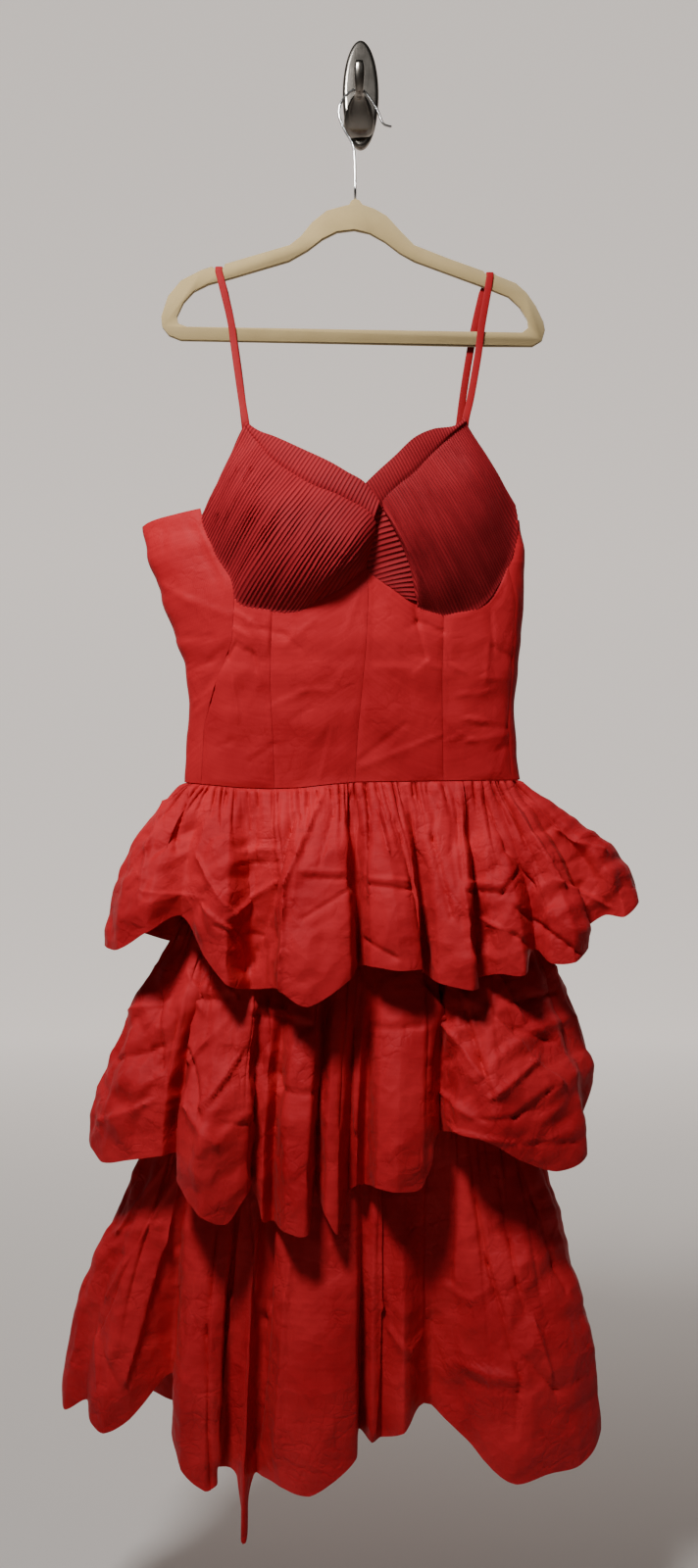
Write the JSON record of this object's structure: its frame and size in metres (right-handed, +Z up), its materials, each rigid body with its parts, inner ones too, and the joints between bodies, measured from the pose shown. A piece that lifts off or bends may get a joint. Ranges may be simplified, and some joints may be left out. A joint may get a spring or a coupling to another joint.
{
  "type": "tiered cocktail dress on a hanger and a wall hook",
  "caption": "Red taffeta party dress with pleated cups, thin straps and gathered petal tiers, on a flocked hanger over a wall hook.",
  "frame": {"origin": "centre of the wall plate's back face, where the part is fastened to a wall", "axes": "+Z up, +Y into the wall, the wearer faces -Y and the wearer's left is at +X"},
  "size_m": [0.6655, 0.1607, 1.7215],
  "materials": {
    "cloth": "crisp red taffeta with a soft sheen",
    "cup_cloth": "finely pleated crimson cloth",
    "flock": "matte beige flock",
    "wire": "polished wire",
    "nickel": "satin nickel"
  },
  "bodies": {
    "root": {"wall_plate": "nickel", "wall_hook_arm": "nickel", "hanger_hook": "wire", "hanger_body": "flock", "strap_right": "cloth", "strap_left": "cloth", "cup_right": "cup_cloth", "cup_left": "cup_cloth", "cup_band_right": "cup_cloth", "cup_band_left": "cup_cloth", "centre_fan": "cup_cloth", "front_side_right": "cloth", "front_centre_right": "cloth", "front_centre_left": "cloth", "front_side_left": "cloth", "back_right": "cloth", "back_left": "cloth", "underskirt_front": "cloth", "underskirt_back": "cloth", "tier1_front": "cloth", "tier1_back": "cloth", "tier2_front": "cloth", "tier2_back": "cloth", "tier3_front": "cloth", "tier3_back": "cloth"}
  },
  "joints": []
}
